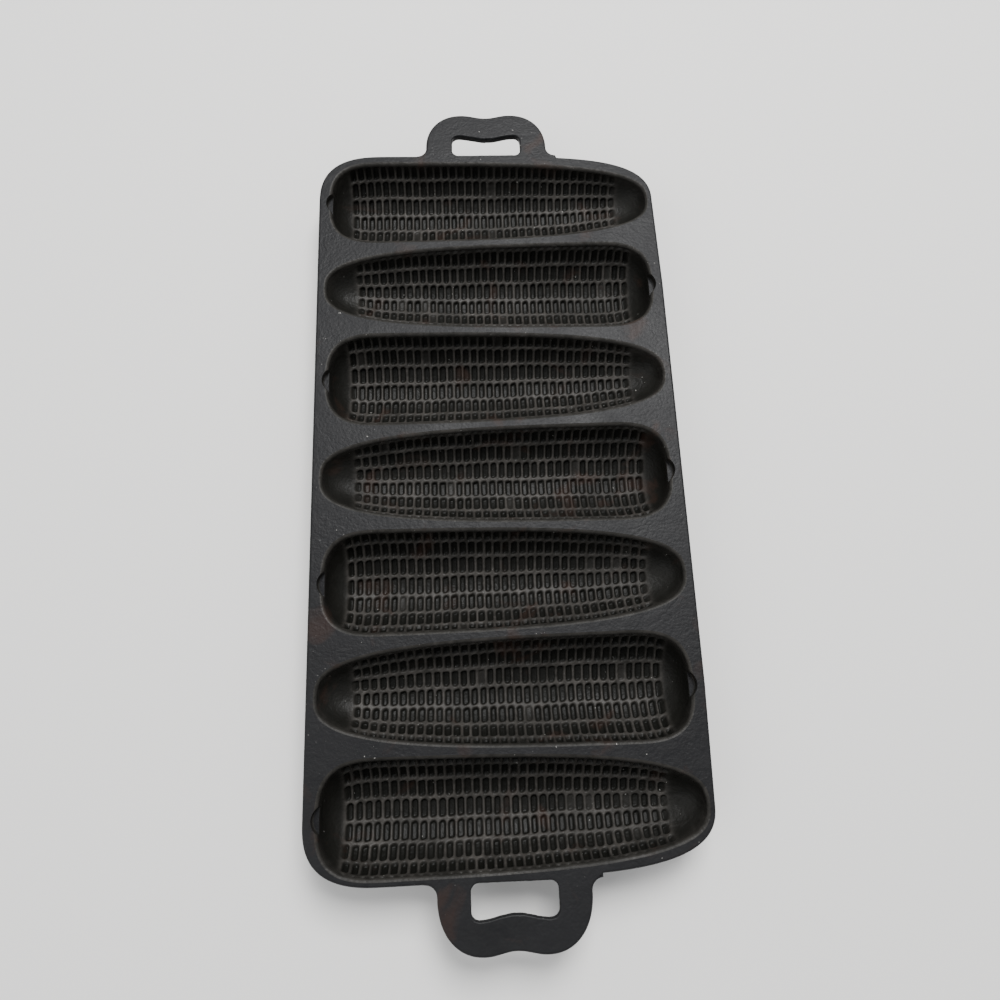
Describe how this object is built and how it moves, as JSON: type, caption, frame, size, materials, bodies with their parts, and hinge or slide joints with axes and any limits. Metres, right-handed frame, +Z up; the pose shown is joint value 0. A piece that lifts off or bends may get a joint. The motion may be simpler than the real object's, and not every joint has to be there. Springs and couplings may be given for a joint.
{
  "type": "corn stick pan",
  "caption": "Cast iron baking pan with parallel ear-of-corn moulds set head to tail in a flat deck, and a slotted lug handle at each end.",
  "frame": {"origin": "on the surface that the pan stands on, under the middle of its bounding box", "axes": "+Y towards the far handle, +X to the right along the corn sticks, +Z up out of the moulds"},
  "size_m": [0.1452, 0.3372, 0.0222],
  "materials": {
    "seasoned_iron": "seasoned cast iron, fine sand-cast grain, satin",
    "mould_iron": "seasoned cast iron, darker in the kernels, worn on the ridges"
  },
  "bodies": {
    "root": {"deck": "seasoned_iron", "cob_cup_1": "mould_iron", "cob_cup_2": "mould_iron", "cob_cup_3": "mould_iron", "cob_cup_4": "mould_iron", "cob_cup_5": "mould_iron", "cob_cup_6": "mould_iron", "cob_cup_7": "mould_iron", "handle_far": "seasoned_iron", "handle_near": "seasoned_iron"}
  },
  "joints": []
}
